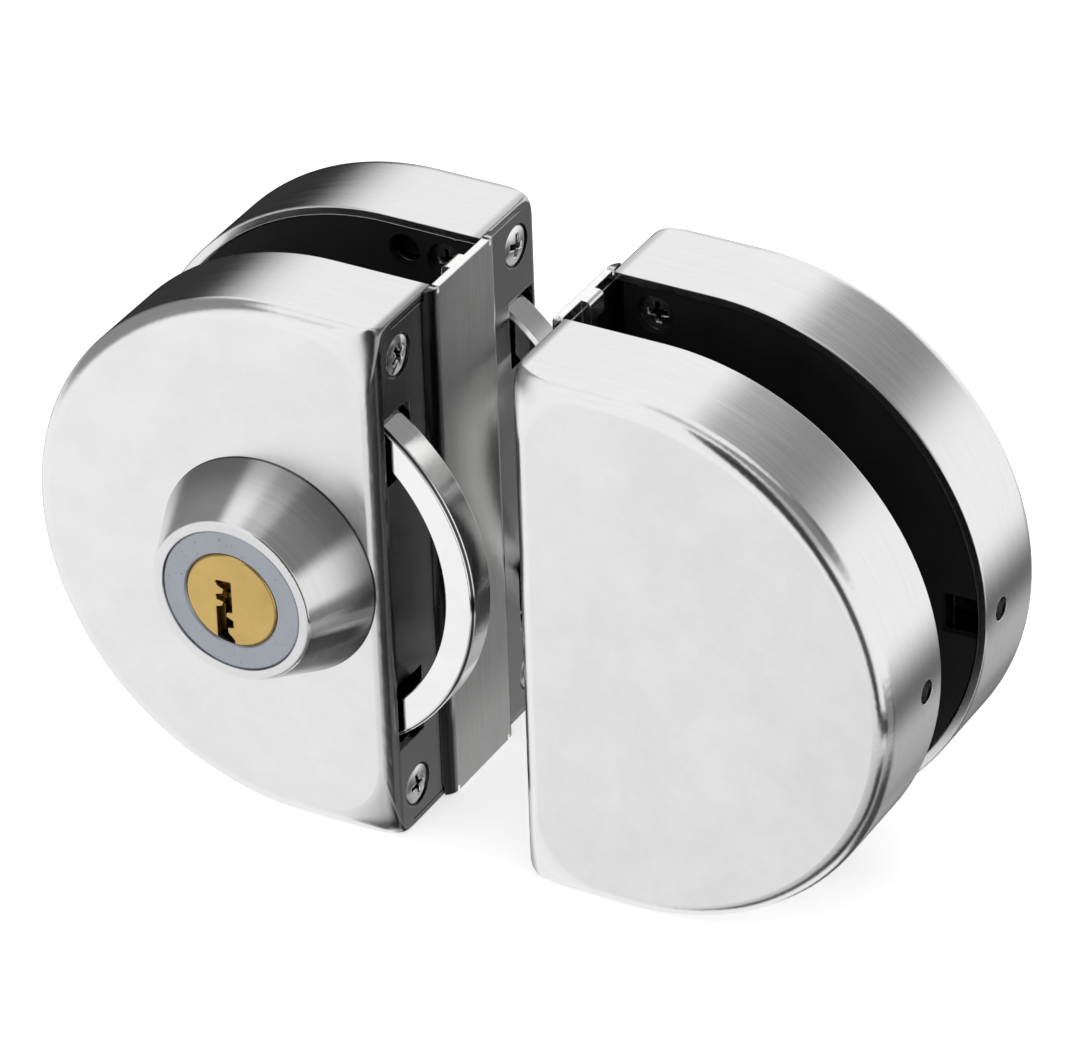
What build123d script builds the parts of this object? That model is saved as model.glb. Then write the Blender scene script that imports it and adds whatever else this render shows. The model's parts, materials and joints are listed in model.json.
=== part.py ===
from build123d import *
import os
from math import asin, cos, degrees, hypot, radians, sin, sqrt

# A lock for a pair of frameless glass doors, in two D-shaped halves.
# Sizes are in millimetres. X runs from the lock half to the strike half, Y away from the outside
# face, Z up. The origin is in the middle of the glass gap, at the height of the key, where the
# lock half's flat side begins.

# The glass and the clamp frame round its edge
glass_thickness = 12.0
glass_clearance = 0.8
pad_thickness = 1.0
pad_margin = 0.1
frame_sheet = 1.2
seat_margin = 0.1
relief_width = 0.6
relief_depth = 0.8
frame_clearance = 0.3
bridge_gap = 0.1
edge_tab_width = 3.5
edge_tab_height = 3.0
edge_tab_reach = 1.2
edge_tab_round = 0.8

# The drawn covers
outline_radius = 38.0
straight_run = 14.1
cover_sheet = 1.2
cover_depth = 14.7
rim_lead = 0.3
face_fillet = 2.2
rim_corner_radius = 0.3
rim_edge_radius = 0.2
face_corner_radius = 9.0
corner_growth = 4.0
corner_run = 5.5
inner_corner_radius = 3.4
bridge_clearance = 0.1
seam_width = 0.3
seam_depth = 0.35
seam_length = 7.5

# The hook bolts and the slots that they pass through
key_inset = 17.0
bolt_block_clearance = 2.2
bolt_width = 4.2
bolt_thickness = 4.9
bolt_rise = 4.6
bolt_lead_angle = -66.0
bolt_arm_angle = 71.0
bolt_throw = 125.0
arm_width = 7.5
bolt_outer_chamfer = 0.5
bolt_inner_chamfer = 0.2
slot_clear_glass_side = 0.7
slot_clear_face_side = 0.8
slot_clear_inside = 2.2
slot_clear_outside = 1.3
strike_slot_clear = 2.0
strike_slot_glass_side = 1.4
strike_slot_face_side = 1.4
keeper_slot_glass_side = 1.0
keeper_slot_face_side = 0.8

# The hub, its bush, the stops and the detent
hub_radius = 7.5
hub_clearance = 0.3
tail_square = 5.0
tail_fit = 0.03
tail_end_gap = 0.1
bush_floor_gap = 0.2
tail_journal_radius = 2.45
running_clearance = 0.05
journal_length = 4.2
bush_flange_radius = 6.5
bush_spigot_radius = 3.6
bush_height = 3.3
stop_pin_radius = 1.5
stop_pin_reach = 16.0
stop_pin_height = 9.3
stop_clearance = 0.3
detent_ball_radius = 1.5
detent_clearance = 0.3
detent_bore_clearance = 0.1
detent_block_width = 8.0
detent_block_length = 10.0
detent_block_height = 9.3
detent_spring_wire = 0.35
detent_spring_turns = 6
detent_spring_length = 5.4

# The key cylinder in its boss
boss_base_radius = 15.7
boss_front_radius = 11.5
boss_height = 9.6
boss_edge_radius = 0.5
boss_spigot_radius = 12.0
boss_nut_wall = 3.0
boss_nut_slot_depth = 1.2
boss_nut_slot_width = 2.0
boss_nut_thickness = 1.1
boss_hole_clearance = 0.1
cylinder_radius = 10.1
cylinder_set_back = 0.15
plug_radius = 6.6
plug_neck_radius = 5.2
plug_edge = 0.2
cylinder_edge = 0.25
clip_radius = 7.8
clip_thickness = 1.1
clip_clearance = 0.2
clip_end_gap = 0.1
socket_depth = 2.6
keyway_depth = 8.6
wafer_count = 4
wafer_pitch = 1.9
wafer_thickness = 1.0
wafer_width = 5.6
wafer_clearance = 0.1
first_wafer_depth = 1.5
wafer_window = (2.9, 9.6)
wafer_window_place = (-1.05, -1.9)
groove_depth = 1.0

# The corner blocks and the fasteners
block_height = 6.0
block_length = 7.0
block_depth = 9.7
block_round = 2.0
cover_screw_rise = 6.2
cover_screw_edge = 5.7
cover_screw_radius = 1.5
cover_screw_head_radius = 2.75
cover_screw_sink = 0.15
screw_head_land = 0.12
cover_screw_end_gap = 0.2
block_screw_inset = 5.6
block_screw_offset = 0.5
block_screw_radius = 1.5
block_screw_head_radius = 2.6
block_screw_length = 5.6
pad_hole_clearance = 0.1
rim_screw_radius = 1.5
rim_hole_radius = 1.6
rim_screw_rise = 1.6
rim_screw_sink = 0.8
lug_inset = 5.2
lug_width = 5.8
lug_reach = 5.0
clamp_screw_radius = 2.0
clamp_screw_length = 5.0
clamp_screw_sink = 1.0
clamp_collar_radius = 2.9
clamp_collar_height = 2.2
clamp_hole_clearance = 0.25
hex_socket_radius = 0.95
hex_socket_depth = 2.0
cross_arm_length = 3.4
cross_arm_width = 0.8
cross_depth = 1.1
lock_clamp_depth = 11.55
lock_clamp_edge = 4.8
strike_clamp_depth = 24.0
strike_clamp_height = 20.0
keeper_thickness = 2.0
keeper_round = 1.9

# The two halves as they stand apart, and when the doors are shut
display_gap = 19.0
shut_gap = 5.5

# Heights of the fasteners, from the outline's straight runs
cover_screw_height = outline_radius - cover_screw_edge
block_screw_height = cover_screw_height + block_screw_offset
lock_clamp_place = (lock_clamp_depth, outline_radius - lock_clamp_edge)
strike_clamp_place = (strike_clamp_depth, strike_clamp_height)

# The bolt swings just clear of the corner blocks
bolt_outer_radius = hypot(key_inset - cover_sheet - block_length,
                          cover_screw_height - block_height / 2) - bolt_block_clearance

# Layers, measured out from the middle of the glass
pad_face = glass_thickness / 2 + glass_clearance
leg_inside = pad_face + pad_thickness
leg_outside = leg_inside + frame_sheet
frame_bend_inside = pad_thickness + seat_margin
frame_bend_radius = frame_bend_inside + frame_sheet
rim = pad_face - rim_lead
face = rim + cover_depth
face_inside = face - cover_sheet
wall_edge = leg_outside + bridge_clearance
bolt_inside = leg_outside + bolt_rise
bolt_outside = bolt_inside + bolt_thickness
boss_front = face + boss_height
boss_nut_radius = boss_spigot_radius + boss_nut_wall
cylinder_front = boss_front - cylinder_set_back
boss_end = face_inside - boss_nut_thickness

# Shared places in the plane of the door
apex = straight_run + outline_radius
wall_inside = outline_radius - cover_sheet
frame_radius = wall_inside - frame_clearance
bolt_inner_radius = bolt_outer_radius - bolt_width
bush_top = leg_outside + bush_height
hub_inside = bush_top + hub_clearance
clip_front = boss_end + clip_end_gap + clip_thickness
plug_seat = clip_front + clip_clearance
lug_far = apex - lug_inset
rim_screw_line = leg_outside + rim_screw_rise
cover_screw_line = leg_outside + cover_screw_rise
cover_screw_seat_radius = cover_screw_head_radius + cover_screw_sink + screw_head_land
key_place = (-key_inset, 0)


def door_plane(out):
    """The plane parallel to the door, out from the middle of the glass on the front side."""
    return Plane(origin=(0, -out, 0), x_dir=(1, 0, 0), z_dir=(0, -1, 0))


def layer(sketch, start, end):
    """A sketch of the door's plane given a thickness, from start to end out from the glass."""
    return extrude(door_plane(start) * sketch, end - start)


def disc(place, radius, start, end):
    return layer(Pos(place[0], place[1]) * Circle(radius), start, end)


def ring(place, outer, inner, start, end):
    return layer(Pos(place[0], place[1]) * (Circle(outer) - Circle(inner)), start, end)


def block(x_low, x_high, start, end, z_low, z_high):
    size = (x_high - x_low, end - start, z_high - z_low)
    middle = ((x_low + x_high) / 2, -(start + end) / 2, (z_low + z_high) / 2)
    return Pos(*middle) * Box(*size)


def rod_along_x(x_low, x_high, out, z, radius, end_radius=None):
    """A rod, or a cone when it has an end radius, from x_low to x_high."""
    plane = Plane(origin=(x_low, -out, z), x_dir=(0, 1, 0), z_dir=(1, 0, 0))
    length = x_high - x_low
    if end_radius is None:
        return plane * Cylinder(radius, length, align=(Align.CENTER, Align.CENTER, Align.MIN))
    return plane * Cone(radius, end_radius, length, align=(Align.CENTER, Align.CENTER, Align.MIN))


def cone_out(place, radius, end_radius, start, end):
    plane = door_plane(start) * Pos(place[0], place[1])
    return plane * Cone(radius, end_radius, end - start, align=(Align.CENTER, Align.CENTER, Align.MIN))


def d_outline(radius, flat):
    """The D shape: an arc, two straight runs and a flat side at x = flat."""
    centre = -straight_run
    edges = [
        Line((flat, -radius), (flat, radius)),
        Line((flat, radius), (centre, radius)),
        ThreePointArc((centre, radius), (centre - radius, 0), (centre, -radius)),
        Line((centre, -radius), (flat, -radius)),
    ]
    return make_face(edges)


def both(shape):
    """A shape and its twin below the key's height."""
    return shape + mirror(shape, about=Plane.XY)


def cover_outline(inset, corner):
    """A cover's D shape drawn in by an inset, with its two upright corners rounded."""
    radius = outline_radius - inset
    high = radius - corner
    start = -inset - corner
    turn = corner * cos(radians(45))
    edges = [
        Line((-inset, -high), (-inset, high)),
        ThreePointArc((-inset, high), (start + turn, high + turn), (start, radius)),
        Line((start, radius), (-straight_run, radius)),
        ThreePointArc((-straight_run, radius), (-straight_run - radius, 0), (-straight_run, -radius)),
        Line((-straight_run, -radius), (start, -radius)),
        ThreePointArc((start, -radius), (start + turn, -high - turn), (-inset, -high)),
    ]
    return make_face(edges)


def corner_radius_at(below):
    """The round of an upright corner below the face: nearly sharp, and growing fast towards the face."""
    share = max(0, 1 - below / corner_run)
    return rim_corner_radius + (face_corner_radius - rim_corner_radius) * share ** corner_growth


def cover_blank():
    """The outside of a cover: the straight wall, the shoulder where its corners open, and the rounded crown."""
    def section(below):
        inset = face_fillet - sqrt(max(0, face_fillet ** 2 - max(0, face_fillet - below) ** 2))
        return door_plane(face - below) * cover_outline(inset, corner_radius_at(below))

    wall = layer(cover_outline(0, rim_corner_radius), rim, face - corner_run)
    wall = fillet(wall.faces().sort_by(Axis.Y)[-1].edges(), rim_edge_radius)
    shoulder_depth = corner_run - face_fillet
    shoulder = loft([section(corner_run - shoulder_depth * k / 4) for k in range(5)])
    crown = loft([section(face_fillet * (1 - sin(radians(15 * k)))) for k in range(7)])
    return wall + shoulder + crown


def cover_shell():
    """A drawn cover without its holes: flat face, arc wall, and flat wall cut back at the frame."""
    outer = cover_blank()
    cavity = layer(d_outline(wall_inside, -cover_sheet), rim - 1, face_inside)
    corners = [e for e in cavity.edges().filter_by(Axis.Y) if e.center().X > -cover_sheet - 0.01]
    cavity = fillet(corners, inner_corner_radius)
    frame_way = block(-3 * cover_sheet, 1, rim - 1, wall_edge, -wall_inside, wall_inside)
    seam_middle = wall_inside + seam_width / 2
    seam = block(-seam_depth, 1, wall_edge - 1, wall_edge + seam_length, seam_middle - seam_width / 2,
                 seam_middle + seam_width / 2)
    return outer - cavity - frame_way - both(seam)


def cover_screw_seats(shell):
    """The two countersunk holes in a cover's flat wall and the screw hole in its arc wall."""
    drop = 2 * cover_sheet
    seat = rod_along_x(-drop, 1, cover_screw_line, cover_screw_height, cover_screw_seat_radius - drop,
                       cover_screw_seat_radius + 1)
    rim_hole = rod_along_x(-apex - 1, -apex + 3 * cover_sheet, rim_screw_line, 0, rim_hole_radius)
    return shell - both(seat) - rim_hole


def slot_height_range():
    """How far up and down the hook bolt is where it crosses the flat wall."""
    low = sqrt(bolt_inner_radius ** 2 - key_inset ** 2)
    high = sqrt(bolt_outer_radius ** 2 - (key_inset - cover_sheet) ** 2)
    return low - slot_clear_inside, high + slot_clear_outside


def lock_cover():
    shell = cover_screw_seats(cover_shell())
    low, high = slot_height_range()
    slot = block(-2 * cover_sheet, 1, bolt_inside - slot_clear_glass_side, bolt_outside + slot_clear_face_side,
                 low, high)
    boss_hole = disc(key_place, boss_spigot_radius + boss_hole_clearance, face_inside - 1, face + 1)
    return shell - both(slot) - boss_hole


def strike_slot_half_height():
    """Half the strike slot, from where the bolt crosses it with the doors shut."""
    return sqrt(bolt_outer_radius ** 2 - (key_inset + shut_gap) ** 2) + strike_slot_clear


def strike_cover():
    shell = cover_screw_seats(cover_shell())
    half = strike_slot_half_height()
    slot = block(-2 * cover_sheet, 1, bolt_inside - strike_slot_glass_side,
                 bolt_outside + strike_slot_face_side, -half, half)
    return shell - slot


def keeper_plate():
    """The steel plate that backs the strike's flat wall round its slot."""
    half = strike_slot_half_height()
    tall = cover_screw_height + block_height / 2
    plate = block(-cover_sheet - keeper_thickness, -cover_sheet, wall_edge, face_inside - 0.1, -tall, tall)
    plate = fillet(plate.edges().filter_by(Axis.Y).group_by(Axis.X)[-1], keeper_round)
    depth = cover_sheet + keeper_thickness + 1
    slot = block(-depth, 0, bolt_inside - keeper_slot_glass_side, bolt_outside + keeper_slot_face_side,
                 -half, half)
    hole = rod_along_x(-depth, 0, cover_screw_line, cover_screw_height, cover_screw_seat_radius - cover_sheet)
    return plate - slot - both(hole)


def corner_blocks(start):
    """The two tapped blocks on one leg of a frame; they begin at the depth start."""
    low = cover_screw_height - block_height / 2
    high = cover_screw_height + block_height / 2
    end = start + block_length
    one = block(-end, -start, leg_outside, leg_outside + block_depth, low, high)
    one = fillet(one.edges().filter_by(Axis.Y).group_by(Axis.X)[-1].sort_by(Axis.Z)[-1], block_round)
    one -= rod_along_x(-end - 1, 0, cover_screw_line, cover_screw_height, cover_screw_radius)
    sink = cover_screw_seat_radius - cover_screw_radius
    if start < sink:
        one -= rod_along_x(-sink, 0, cover_screw_line, cover_screw_height, cover_screw_radius,
                           cover_screw_seat_radius)
    one -= disc((-block_screw_inset, block_screw_height), block_screw_radius, leg_outside - 1,
                leg_inside + block_screw_length)
    return both(one)


def cross_recess(depth):
    """A cross recess for a screw whose head faces +Z at the origin."""
    arm = Box(cross_arm_length, cross_arm_width, 2 * depth)
    heart = Cone(0.3, 1.25, depth, align=(Align.CENTER, Align.CENTER, Align.MAX))
    return arm + Rot(0, 0, 90) * arm + heart


def flat_head_screw(head_radius, radius, length):
    """A countersunk cross-head screw, its head's top at the origin and facing +Z."""
    drop = head_radius - radius
    head = Pos(0, 0, -screw_head_land - drop) * Cone(radius, head_radius, drop,
                                          align=(Align.CENTER, Align.CENTER, Align.MIN))
    land = Cylinder(head_radius, screw_head_land, align=(Align.CENTER, Align.CENTER, Align.MAX))
    shank = Cylinder(radius, length, align=(Align.CENTER, Align.CENTER, Align.MAX))
    return head + land + shank - cross_recess(cross_depth)


def set_screw(radius, length):
    """A screw without a head, its socket end at the origin and facing +Z."""
    body = Cylinder(radius, length, align=(Align.CENTER, Align.CENTER, Align.MAX))
    body = chamfer(body.edges().filter_by(GeomType.CIRCLE), 0.3)
    socket = extrude(RegularPolygon(hex_socket_radius, 6), -hex_socket_depth)
    return body - socket


def cover_screws():
    """The four screws through the covers' flat walls."""
    length = cover_sheet + block_length - cover_screw_end_gap - cover_screw_sink
    screw = flat_head_screw(cover_screw_head_radius, cover_screw_radius, length)
    one = Plane(origin=(-cover_screw_sink, -cover_screw_line, cover_screw_height), x_dir=(0, 1, 0),
                z_dir=(1, 0, 0)) * screw
    pair = both(one)
    return pair + mirror(pair, about=Plane.XZ)


def block_screws():
    """The four screws that hold the corner blocks, put in from the glass side."""
    screw = flat_head_screw(block_screw_head_radius, block_screw_radius, block_screw_length)
    one = Plane(origin=(-block_screw_inset, -leg_inside, block_screw_height), x_dir=(1, 0, 0),
                z_dir=(0, 1, 0)) * screw
    pair = both(one)
    return pair + mirror(pair, about=Plane.XZ)


def rim_screws():
    """The two set screws at the tips of the D."""
    length = apex - rim_screw_sink - (lug_far - frame_sheet) - 0.1
    one = Plane(origin=(-apex + rim_screw_sink, -rim_screw_line, 0), x_dir=(0, 1, 0),
                z_dir=(-1, 0, 0)) * set_screw(rim_screw_radius, length)
    return one + mirror(one, about=Plane.XZ)


def clamp_screws(place):
    """The two set screws in the back leg that press on the glass."""
    end = leg_inside + clamp_screw_sink
    one = Plane(origin=(-place[0], end + clamp_screw_length, place[1]), x_dir=(1, 0, 0),
                z_dir=(0, 1, 0)) * set_screw(clamp_screw_radius, clamp_screw_length)
    return both(one)


def frame_leg():
    """One D-shaped side plate with its folded lug and screw holes, on the front side."""
    leg = layer(d_outline(frame_radius, -frame_bend_radius), leg_inside, leg_outside)
    notch = block(-apex, -lug_far, leg_inside - 1, leg_outside + 1, -lug_width / 2, lug_width / 2)
    lug = block(-lug_far, -lug_far + frame_sheet, leg_inside, leg_outside + lug_reach, -lug_width / 2,
                lug_width / 2)
    lug_hole = rod_along_x(-lug_far - 1, -lug_far + frame_sheet, rim_screw_line, 0, rim_screw_radius)
    drop = block_screw_head_radius - block_screw_radius
    seat = cone_out((-block_screw_inset, block_screw_height), block_screw_head_radius + 0.02,
                    block_screw_radius + 0.02, leg_inside + screw_head_land,
                    leg_inside + screw_head_land + drop)
    seat += disc((-block_screw_inset, block_screw_height), block_screw_head_radius + 0.02, leg_inside - 1,
                 leg_inside + screw_head_land)
    seat += disc((-block_screw_inset, block_screw_height), block_screw_radius, leg_inside, leg_outside + 1)
    return leg - notch + lug - lug_hole - both(seat)


def bridge():
    """The folded sheet across the glass edge: taller where it stands proud of the flat side."""
    front = frame_sheet
    back = -2 * frame_bend_radius

    def channel(x_low, half_height):
        outer = Rectangle(front - back, 2 * leg_outside, align=(Align.MAX, Align.CENTER))
        outer = fillet(outer.vertices().group_by(Axis.X)[-1], frame_bend_radius)
        inner = Rectangle(1 - back, 2 * leg_inside, align=(Align.MAX, Align.CENTER))
        inner = fillet(inner.vertices().group_by(Axis.X)[-1], frame_bend_inside)
        section = Pos(front, 0) * outer - inner
        keep = Pos(x_low, 0) * Rectangle(front - x_low, 2 * leg_outside, align=(Align.MIN, Align.CENTER))
        section = section & keep
        return extrude(Pos(0, 0, -half_height) * section, 2 * half_height)

    return channel(-frame_bend_radius, frame_radius) + channel(bridge_gap, outline_radius)


def bend_reliefs():
    """The small notches that let the tall part of the bridge fold, at the top and bottom of each bend."""
    middle = leg_outside - frame_bend_radius
    notch = block(bridge_gap - 1, frame_sheet + 1, middle - relief_width / 2, middle + relief_width / 2,
                  outline_radius - relief_depth, outline_radius + 1)
    return both(notch + mirror(notch, about=Plane.XZ))


def edge_tabs():
    """The small tongues folded in from the bridge's ends, which the glass edge meets."""
    tab = block(-edge_tab_reach, bridge_gap, -edge_tab_width / 2, edge_tab_width / 2,
                outline_radius - edge_tab_height, outline_radius)
    tab = fillet(tab.edges().filter_by(Axis.Y).group_by(Axis.X)[0].sort_by(Axis.Z)[-1], edge_tab_round)
    return both(tab)


def clamp_frame(clamp_place):
    """The U-shaped frame: two legs, the bridge, and collars for the clamp screws in the back leg."""
    leg = frame_leg()
    frame = leg + mirror(leg, about=Plane.XZ) + bridge() - bend_reliefs() + edge_tabs()
    place = (-clamp_place[0], clamp_place[1])
    collar = disc(place, clamp_collar_radius, leg_inside, leg_outside + clamp_collar_height)
    hole = disc(place, clamp_screw_radius, leg_inside - 2, leg_outside + clamp_collar_height + 1)
    frame += mirror(both(collar), about=Plane.XZ)
    return frame - mirror(both(hole), about=Plane.XZ)


def glass_pad(clamp_place=None):
    """The rubber pad on a leg's glass side, cut out round the screws and the lug."""
    pad = layer(d_outline(frame_radius, -frame_bend_inside - pad_margin), pad_face, leg_inside)
    half = lug_width / 2
    pad -= block(-apex, -lug_far + frame_sheet, pad_face - 1, leg_inside + 1, -half, half)
    pad -= both(disc((-block_screw_inset, block_screw_height), block_screw_head_radius + pad_hole_clearance,
                     pad_face - 1, leg_inside + 1))
    if clamp_place:
        pad -= both(disc((-clamp_place[0], clamp_place[1]), clamp_screw_radius + clamp_hole_clearance,
                         pad_face - 1, leg_inside + 1))
    return pad


def boss():
    """The turned cone that guards the key cylinder, with its threaded spigot."""
    body = cone_out(key_place, boss_base_radius, boss_front_radius, face, boss_front)
    body = fillet(body.edges().sort_by(Axis.Y)[0], boss_edge_radius)
    body += disc(key_place, boss_spigot_radius, boss_end, face)
    return body - disc(key_place, cylinder_radius, boss_end - 1, boss_front + 1)


def boss_nut():
    """The round nut behind the cover, with two slots for a pin spanner."""
    nut = ring(key_place, boss_nut_radius, boss_spigot_radius, boss_end, face_inside)
    half = boss_nut_slot_width / 2
    notch = block(-key_inset - half, -key_inset + half, boss_end - 1, face_inside + 1,
                  boss_nut_radius - boss_nut_slot_depth, boss_nut_radius + 1)
    return nut - both(notch)


def key_cylinder():
    """The cylinder body: plug bore, grooves for the wafers and a recess for the clip."""
    body = disc(key_place, cylinder_radius, boss_end, cylinder_front)
    body -= disc(key_place, plug_radius + running_clearance, boss_end - 1, cylinder_front + 1)
    body -= disc(key_place, clip_radius + clip_clearance, boss_end - 1, plug_seat)
    body = chamfer(front_rings(body), cylinder_edge)
    half = wafer_width / 2 + wafer_clearance
    groove = block(-key_inset - half, -key_inset + half, plug_seat - 0.5, cylinder_front - first_wafer_depth / 2,
                   0, plug_radius + groove_depth)
    return body - both(groove)


def front_rings(body):
    """The round edges of a turned piece's front face."""
    return body.edges().filter_by(GeomType.CIRCLE).group_by(Axis.Y)[0]


def keyway_sketch():
    """The snaking slot: two ribs from the left above, two from the right below."""
    bottom = -plug_radius - 1
    points = [
        (-2.25, 2.3), (-2.0, 2.6), (0.1, 2.7), (0.1, -1.85), (-0.75, -2.05), (-0.85, -2.6), (0.15, -3.05),
        (0.2, -4.1), (-0.7, -4.3), (-0.65, -5.0), (0.25, -5.9), (0.25, bottom), (-2.3, bottom),
        (-2.25, -1.45), (-1.35, -1.1), (-1.15, -0.55), (-2.15, -0.35), (-2.25, 0.4), (-1.25, 0.75),
        (-1.05, 1.35), (-1.9, 1.75),
    ]
    return make_face(Polyline(*points, close=True))


def wafer_places():
    """How far out each wafer's middle lies."""
    return [cylinder_front - first_wafer_depth - wafer_pitch * i for i in range(wafer_count)]


def plug():
    """The brass plug with its keyway, wafer slots, clip neck and square socket."""
    body = disc(key_place, plug_radius, plug_seat, cylinder_front)
    body += disc(key_place, plug_neck_radius, boss_end + clip_end_gap, plug_seat)
    body = chamfer(front_rings(body), plug_edge)
    keyway = layer(Pos(*key_place) * keyway_sketch(), cylinder_front - keyway_depth, cylinder_front + 1)
    body -= keyway
    half = wafer_width / 2 + wafer_clearance
    for out in wafer_places():
        reach = wafer_thickness / 2 + wafer_clearance
        body -= block(-key_inset - half, -key_inset + half, out - reach, out + reach, -plug_radius, plug_radius)
    side = tail_square + 2 * tail_fit
    socket = Pos(*key_place) * Rectangle(side, side)
    return body - layer(socket, boss_end, boss_end + clip_end_gap + socket_depth)


def wafers():
    """The flat wafers at the height at which the plug is free to turn."""
    group = None
    for out in wafer_places():
        low = out - wafer_thickness / 2
        high = out + wafer_thickness / 2
        plate = disc(key_place, plug_radius - wafer_clearance, low, high)
        plate &= block(-key_inset - wafer_width / 2, -key_inset + wafer_width / 2, low, high, -plug_radius,
                       plug_radius)
        window = Pos(*key_place) * (Pos(*wafer_window_place) * Rectangle(*wafer_window))
        plate -= layer(window, low - 1, high + 1)
        group = plate if group is None else group + plate
    return group


def plug_clip():
    """The snap ring on the plug's neck."""
    clip = ring(key_place, clip_radius, plug_neck_radius, boss_end + clip_end_gap, clip_front)
    gap = block(-key_inset - 1.2, -key_inset + 1.2, boss_end - 1, clip_front + 1, plug_neck_radius - 1,
                clip_radius + 1)
    return clip - gap


def tailpiece():
    """The square bar from the plug through the hub, with a round end in the bush."""
    square_end = boss_end + clip_end_gap + socket_depth - tail_end_gap
    low = bush_top + bush_floor_gap
    bar = layer(Pos(*key_place) * Rectangle(tail_square, tail_square), low, square_end)
    return bar + disc(key_place, tail_journal_radius, low - journal_length, low)


def pivot_bush():
    """The bush riveted into the leg, in which the tailpiece's end runs."""
    bush = disc(key_place, bush_flange_radius, leg_outside, bush_top)
    bush += disc(key_place, bush_spigot_radius, leg_inside, leg_outside)
    return bush - disc(key_place, tail_journal_radius + running_clearance, bush_top - journal_length, bush_top + 1)


def at_angle(angle, reach, aside=0.0):
    """A place in the door's plane, from the key's axis: reach along the angle, then aside."""
    a = radians(angle)
    x = -key_inset + reach * cos(a) - aside * sin(a)
    z = reach * sin(a) + aside * cos(a)
    return x, z


def arm_half_angle():
    """Half the angle that the arm takes up at the bolt's outer edge."""
    return degrees(asin(arm_width / 2 / bolt_inner_radius))


def hook_bolt():
    """The crescent with its arm and hub. Its section has a wide chamfer on the outer edges."""
    c = bolt_outer_chamfer
    d = bolt_inner_chamfer
    low, high = bolt_inside, bolt_outside
    outer, inner = bolt_outer_radius, bolt_inner_radius
    corners = [
        (outer - c, high), (outer, high - c), (outer, low + c), (outer - c, low),
        (inner + d, low), (inner, low + d), (inner, high - d), (inner + d, high),
    ]
    section = make_face(Polyline(*[(r - key_inset, -y) for r, y in corners], close=True))
    crescent = revolve(section, axis=Axis((-key_inset, 0, 0), (0, 1, 0)), revolution_arc=360)
    tail_angle = bolt_arm_angle + arm_half_angle()
    far = 2 * bolt_outer_radius
    fan = [bolt_lead_angle + (tail_angle - bolt_lead_angle) * i / 4 for i in range(5)]
    pie = make_face(Polyline((-key_inset, 0), *[at_angle(angle, far) for angle in fan], close=True))
    crescent &= layer(pie, low - 1, high + 1)
    arm_sketch = Pos(*at_angle(bolt_arm_angle, (bolt_inner_radius + 1) / 2)) * (
        Rot(0, 0, bolt_arm_angle) * Rectangle(bolt_inner_radius + 1, arm_width))
    arm = layer(arm_sketch, low, high)
    hub = disc(key_place, hub_radius, hub_inside, high)
    side = tail_square + 2 * tail_fit
    square = layer(Pos(*key_place) * Rectangle(side, side), hub_inside - 1, high + 1)
    body = crescent + arm + hub - square
    return body - detent_notches()


def detent_notches():
    """Two shallow hollows in the hub, for the ball at each end of the bolt's travel."""
    out = (bolt_inside + bolt_outside) / 2
    cuts = None
    for angle in (-90.0, -90.0 - bolt_throw):
        x, z = at_angle(angle, hub_radius + detent_ball_radius * 0.6)
        ball = Pos(x, -out, z) * Sphere(detent_ball_radius)
        cuts = ball if cuts is None else cuts + ball
    return cuts


def stop_pins():
    """The pins that the arm meets at each end of its travel."""
    aside = arm_width / 2 + stop_clearance + stop_pin_radius
    thrown = at_angle(bolt_arm_angle, stop_pin_reach, -aside)
    drawn = at_angle(bolt_arm_angle + bolt_throw, stop_pin_reach, aside)
    top = leg_outside + stop_pin_height
    return disc(thrown, stop_pin_radius, leg_inside, top) + disc(drawn, stop_pin_radius, leg_inside, top)


def detent_line():
    """The ball's middle, below the hub."""
    return -(hub_radius + detent_clearance + detent_ball_radius)


def detent_block():
    """The block that holds the detent's ball and spring, riveted to the leg."""
    top = detent_line() + detent_ball_radius / 2
    low = top - detent_block_length
    half = detent_block_width / 2
    body = block(-key_inset - half, -key_inset + half, leg_outside, leg_outside + detent_block_height, low, top)
    out = (bolt_inside + bolt_outside) / 2
    bore_radius = detent_ball_radius + detent_bore_clearance
    floor = detent_line() - detent_ball_radius - detent_spring_length
    bore = Cylinder(bore_radius, top + 1 - floor, align=(Align.CENTER, Align.CENTER, Align.MIN))
    return body - Pos(-key_inset, -out, floor) * bore


def detent_ball():
    out = (bolt_inside + bolt_outside) / 2
    return Pos(-key_inset, -out, detent_line()) * Sphere(detent_ball_radius)


def detent_spring():
    """The coil spring under the ball."""
    out = (bolt_inside + bolt_outside) / 2
    radius = detent_ball_radius - detent_spring_wire
    pitch = (detent_spring_length - detent_spring_wire) / detent_spring_turns
    path = Helix(pitch, pitch * detent_spring_turns, radius)
    wire = Plane(origin=path @ 0, z_dir=path % 0) * Circle(detent_spring_wire / 2)
    coil = sweep(wire, path=path)
    floor = detent_line() - detent_ball_radius - detent_spring_length
    return Pos(-key_inset, -out, floor + detent_spring_wire / 2) * coil


def leg_rivet_holes(frame):
    """The holes in both legs of the lock's frame for the bushes and the stop pins."""
    holes = disc(key_place, bush_spigot_radius, leg_inside - 1, leg_outside + 1)
    aside = arm_width / 2 + stop_clearance + stop_pin_radius
    for place in (at_angle(bolt_arm_angle, stop_pin_reach, -aside),
                  at_angle(bolt_arm_angle + bolt_throw, stop_pin_reach, aside)):
        holes += disc(place, stop_pin_radius, leg_inside - 1, leg_outside + 1)
    return frame - holes - mirror(holes, about=Plane.XZ)


def to_strike(shape):
    """A piece drawn for the lock half, turned to face it and set at the display gap."""
    return Pos(display_gap, 0, 0) * mirror(shape, about=Plane.YZ)


def save(name, shape):
    shape.label = name
    export_step(shape, "parts/" + name + ".step")


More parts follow.
